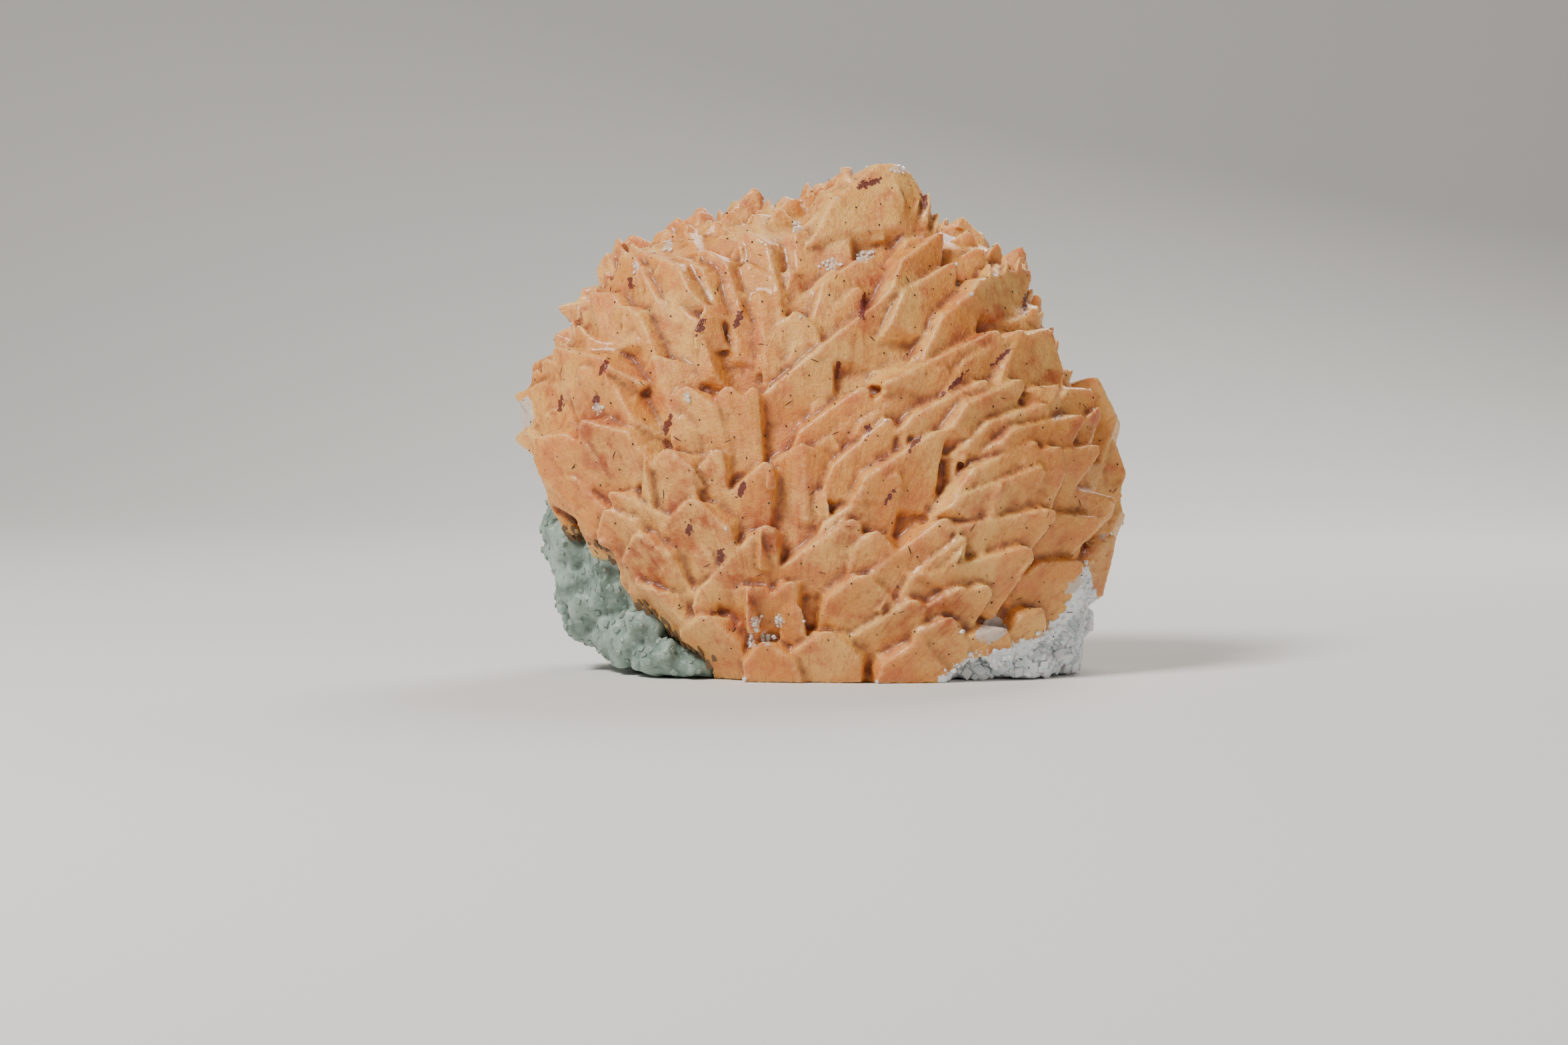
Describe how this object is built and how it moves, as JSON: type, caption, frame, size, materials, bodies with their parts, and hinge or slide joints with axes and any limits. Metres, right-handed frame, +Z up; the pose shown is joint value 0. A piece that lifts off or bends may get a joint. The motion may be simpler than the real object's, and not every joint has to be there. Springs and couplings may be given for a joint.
{
  "type": "pink calcite crystal cluster",
  "caption": "Free-standing dome of shingled dogtooth pink calcite crystals grown on a block of pale grey-green host rock with a flat underside.",
  "frame": {"origin": "a point of the flat underside, under the middle of the crystals", "axes": "+X to the right across the show face, +Y to the back, +Z up from the underside to the tips"},
  "size_m": [0.1032, 0.0594, 0.084],
  "materials": {
    "calcite": "translucent peach-pink, glossy to softly frosted, with orange-brown iron stain in the creases",
    "host_rock": "rough, pale grey-green with a sugary sparkle"
  },
  "bodies": {
    "root": {"calcite_crystals": "calcite", "matrix_rock": "host_rock"}
  },
  "joints": []
}
